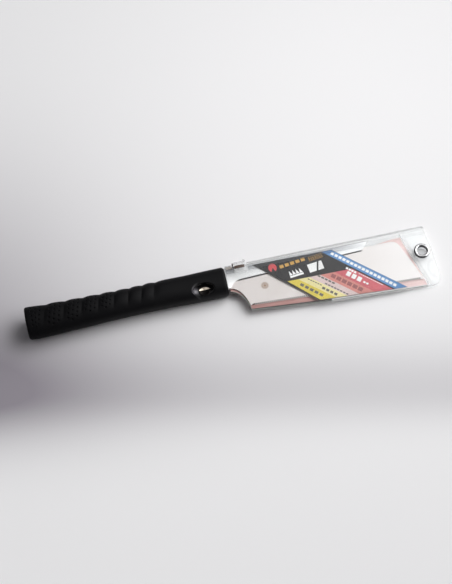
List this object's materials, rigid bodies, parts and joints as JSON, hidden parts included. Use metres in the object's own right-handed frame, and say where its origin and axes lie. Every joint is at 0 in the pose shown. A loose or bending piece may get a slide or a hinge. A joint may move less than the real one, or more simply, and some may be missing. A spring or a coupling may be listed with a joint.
{
  "type": "pull saw",
  "caption": "Japanese-style pull saw: replaceable toothed blade with a steel spine, held by a coin-slot screw in a scalloped rubber handle, in a clear slide-on sheath with a metal eyelet.",
  "frame": {"origin": "centre of the handle's flat butt face, on the blade's mid-plane", "axes": "+X along the handle to the blade's tip, +Y from the teeth to the spine, +Z square to the blade (the saw lies on its side); the screw head is on the +Z side"},
  "size_m": [0.4215, 0.0701, 0.0284],
  "materials": {
    "grip_rubber": "matt black moulded elastomer, dimpled along the finger scallops",
    "core_plastic": "moulded",
    "blade_steel": "ground",
    "spine_steel": "satin",
    "zinc_steel": "zinc plated",
    "nickel_screw": "nickel plated",
    "clear_plastic": "clear",
    "eyelet_chrome": "polished",
    "bronze_strip": "dark bronze",
    "label_print": "printed colour bands under gloss",
    "pink_card": "uncoated card"
  },
  "bodies": {
    "handle": {"grip_sleeve": "grip_rubber", "core_upper": "core_plastic", "core_lower": "core_plastic", "core_pin_front": "zinc_steel", "core_pin_rear": "zinc_steel", "tang_socket": "zinc_steel", "tang_pin": "zinc_steel", "clamp_nut": "zinc_steel"},
    "lock_washer": {"lock_washer": "zinc_steel"},
    "lock_screw": {"lock_screw": "nickel_screw"},
    "blade_unit": {"spine": "spine_steel", "blade": "blade_steel"},
    "sheath": {"sheath_front_panel": "clear_plastic", "sheath_back_panel": "clear_plastic", "end_spacer": "clear_plastic", "edge_spacer": "clear_plastic", "sheath_rail": "clear_plastic", "mouth_rail": "clear_plastic", "mouth_clip": "clear_plastic", "clip_strip": "bronze_strip", "eyelet": "eyelet_chrome", "eyelet_washer": "eyelet_chrome", "label_card": "label_print", "back_card": "pink_card"}
  },
  "joints": [
    {"name": "blade_slide", "type": "slide", "parent": "handle", "child": "blade_unit", "axis": [1, 0, 0], "range_m": [0, 0.065]},
    {"name": "sheath_slide", "type": "slide", "parent": "blade_unit", "child": "sheath", "axis": [1, 0, 0], "range_m": [0, 0.2]},
    {"name": "lock_lift", "type": "slide", "parent": "handle", "child": "lock_washer", "axis": [0, 0, 1], "range_m": [0, 0.0025]},
    {"name": "lock_turn", "type": "hinge", "parent": "lock_washer", "child": "lock_screw", "pos_m": [0.182, -0.0058, 0.004], "axis": [0, 0, 1], "range_deg": [0, 1080]}
  ],
  "couplings": [
    {"joint": "lock_lift", "follows": "lock_turn", "m_per_rad": 0.00012732}
  ]
}
